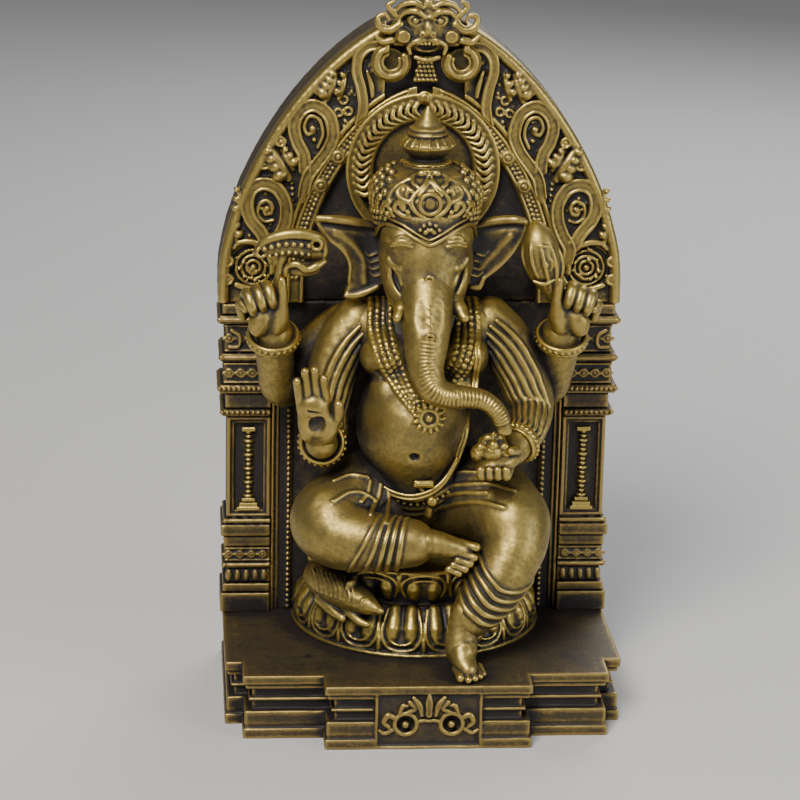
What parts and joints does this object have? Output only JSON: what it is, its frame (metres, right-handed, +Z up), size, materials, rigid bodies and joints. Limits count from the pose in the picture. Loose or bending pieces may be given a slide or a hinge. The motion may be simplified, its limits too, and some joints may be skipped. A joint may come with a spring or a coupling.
{
  "type": "ganesha idol",
  "caption": "Seated elephant-headed household idol on a lotus seat, backed by a carved arched throne on a stepped plinth, in antique gold.",
  "frame": {"origin": "centre of the flat underside of the plinth, halfway between its front tier and the throne's back", "axes": "+Z up to the crest, -Y the way the figure faces, +X towards a viewer's right when they face the figure"},
  "size_m": [0.108, 0.072, 0.1875],
  "materials": {
    "gold": "cast resin with dry-brushed antique gold paint over a near-black undercoat",
    "bright_gold": "cast resin with more heavily rubbed antique gold paint on raised ornament",
    "dull_gold": "cast resin with thin bronze-brown paint that keeps the dark undercoat"
  },
  "bodies": {
    "root": {"plinth": "dull_gold", "plinth_rosette": "bright_gold", "back_panel": "dull_gold", "left_pillar": "dull_gold", "right_pillar": "dull_gold", "left_colonnette": "bright_gold", "right_colonnette": "bright_gold", "left_jamb": "dull_gold", "right_jamb": "dull_gold", "arch_plate": "dull_gold", "left_scroll_border": "gold", "right_scroll_border": "gold", "left_inner_arch": "gold", "right_inner_arch": "gold", "halo": "gold", "crest_face": "gold", "left_crest_ring": "bright_gold", "right_crest_ring": "bright_gold", "crest_tassel": "dull_gold", "lower_lotus": "bright_gold", "lotus_waist": "dull_gold", "upper_lotus": "bright_gold", "torso": "gold", "belly_band": "bright_gold", "buckle": "bright_gold", "sacred_thread": "bright_gold", "necklace": "bright_gold", "pendant": "bright_gold", "head": "gold", "trunk": "gold", "left_ear": "gold", "right_ear": "gold", "left_tusk": "bright_gold", "right_tusk": "bright_gold", "diadem": "gold", "crown": "bright_gold", "jewel": "gold", "crown_finial": "bright_gold", "rear_left_arm": "gold", "rear_right_arm": "gold", "front_left_arm": "gold", "front_right_arm": "gold", "rear_left_hand": "gold", "rear_right_hand": "gold", "front_left_hand": "gold", "front_right_hand": "gold", "rear_left_bracelet": "bright_gold", "rear_right_bracelet": "bright_gold", "front_left_bracelet": "bright_gold", "front_right_bracelet": "bright_gold", "battle_axe": "bright_gold", "lotus_bud": "bright_gold", "sweet_bowl": "bright_gold", "folded_leg": "gold", "hanging_leg": "gold", "folded_foot": "gold", "hanging_foot": "gold", "mouse": "gold"}
  },
  "joints": []
}
